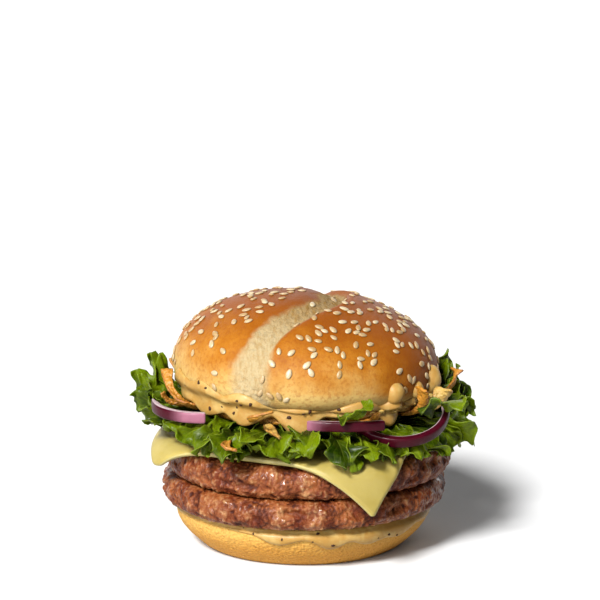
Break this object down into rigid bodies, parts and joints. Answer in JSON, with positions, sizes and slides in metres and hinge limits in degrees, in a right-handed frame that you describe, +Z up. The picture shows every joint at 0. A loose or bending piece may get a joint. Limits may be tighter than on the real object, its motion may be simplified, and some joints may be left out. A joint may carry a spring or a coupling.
{
  "type": "cheeseburger",
  "caption": "Double cheeseburger in a seeded split-top bun with lettuce, red onion, crispy fried onion and pepper sauce.",
  "frame": {"origin": "centre of the heel's flat foot, on the surface that the burger rests on", "axes": "+Z up through the layers, -Y towards the front, where a corner of the cheese hangs down, and +X to the right as seen from the front"},
  "size_m": [0.1348, 0.1266, 0.0992],
  "materials": {
    "heel_crust": "matte, finely pored, golden",
    "pepper_sauce": "smooth and moist, with pepper flecks",
    "beef": "seared, craggy, glistening with fat",
    "cheese": "smooth, softly waxy, pale yellow",
    "lettuce": "thin frilly leaf, lightly glossy",
    "red_onion": "purple skin with pale wet cut faces",
    "fried_onion": "crisp, golden, rough",
    "crown_crust": "egg-washed, browned on top, with pale sesame seeds and a pale split"
  },
  "bodies": {
    "root": {"bun_heel": "heel_crust", "sauce_lower": "pepper_sauce", "patty_lower": "beef", "patty_upper": "beef", "cheese_slice": "cheese", "lettuce_bed": "lettuce", "lettuce_sprig_front": "lettuce", "lettuce_sprig_right": "lettuce", "onion_left": "red_onion", "onion_front": "red_onion", "onion_right": "red_onion", "onion_back": "red_onion", "crispy_onions": "fried_onion", "sauce_upper": "pepper_sauce", "bun_crown": "crown_crust"}
  },
  "joints": []
}
